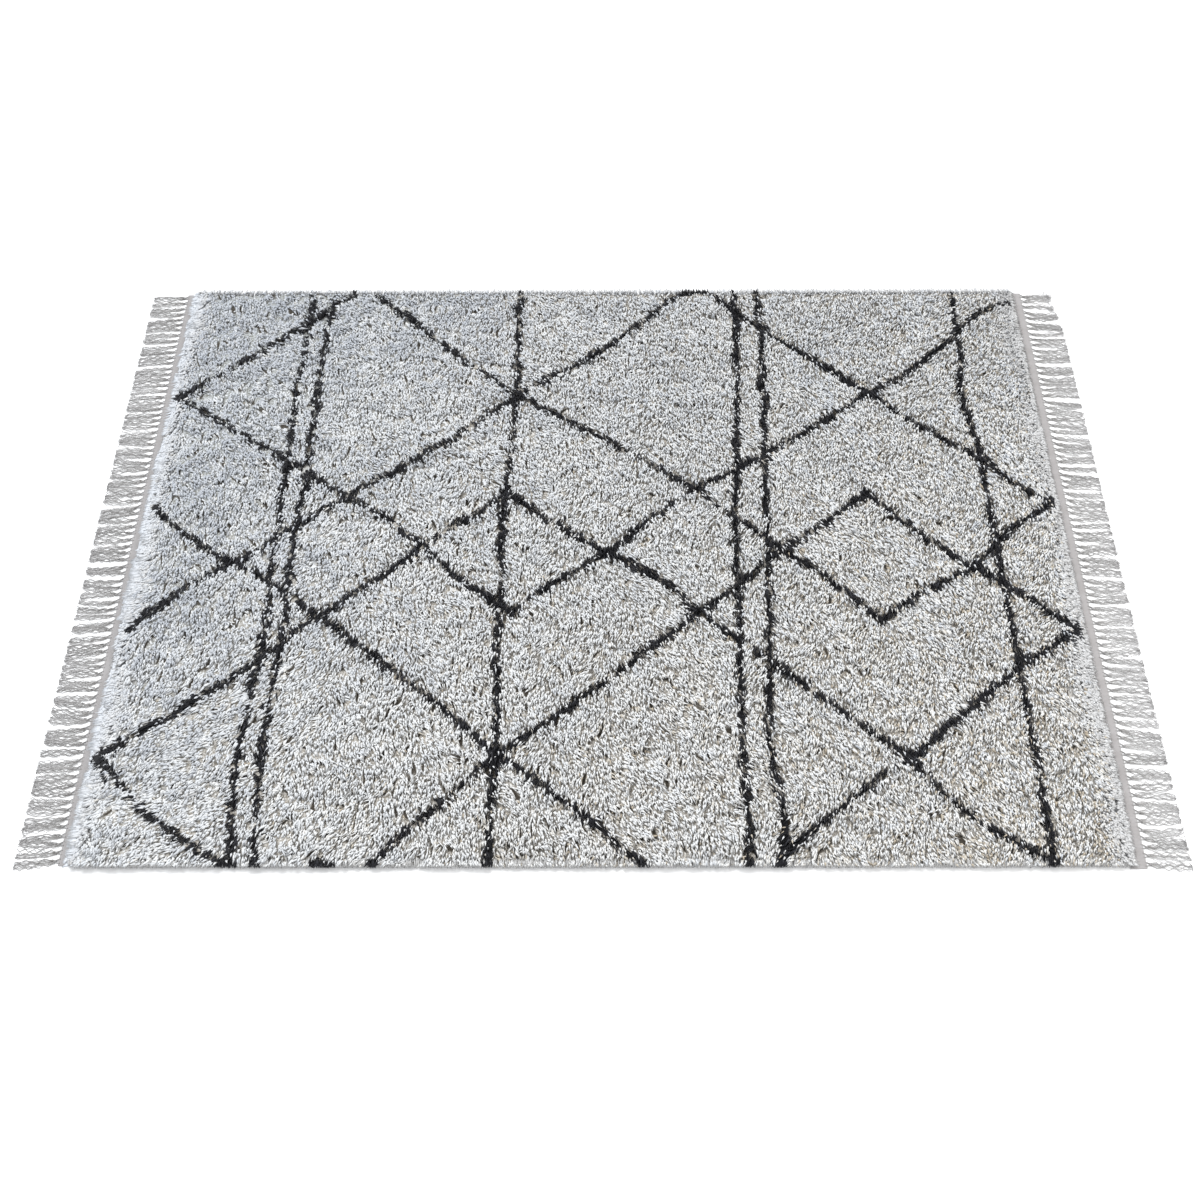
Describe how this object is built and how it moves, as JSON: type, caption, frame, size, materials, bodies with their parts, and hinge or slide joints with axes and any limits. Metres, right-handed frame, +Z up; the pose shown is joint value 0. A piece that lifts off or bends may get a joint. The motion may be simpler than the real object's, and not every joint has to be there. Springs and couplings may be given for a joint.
{
  "type": "tufted cotton rug",
  "caption": "Flat shaggy cotton rug with a traditional lattice of dark lines on ivory pile, and a woven band with gathered tassels at each short end.",
  "frame": {"origin": "on the floor under the middle of the rug", "axes": "+X along the rug's length towards the right end, +Y towards the far long edge, +Z up from the floor"},
  "size_m": [2.5, 1.5996, 0.0273],
  "materials": {
    "pile": "deep cut cotton pile, ivory, with charcoal lines",
    "fringe": "plain woven cotton with gathered warp ends, light grey"
  },
  "bodies": {
    "root": {"pile": "pile", "fringe_left": "fringe", "fringe_right": "fringe"}
  },
  "joints": []
}
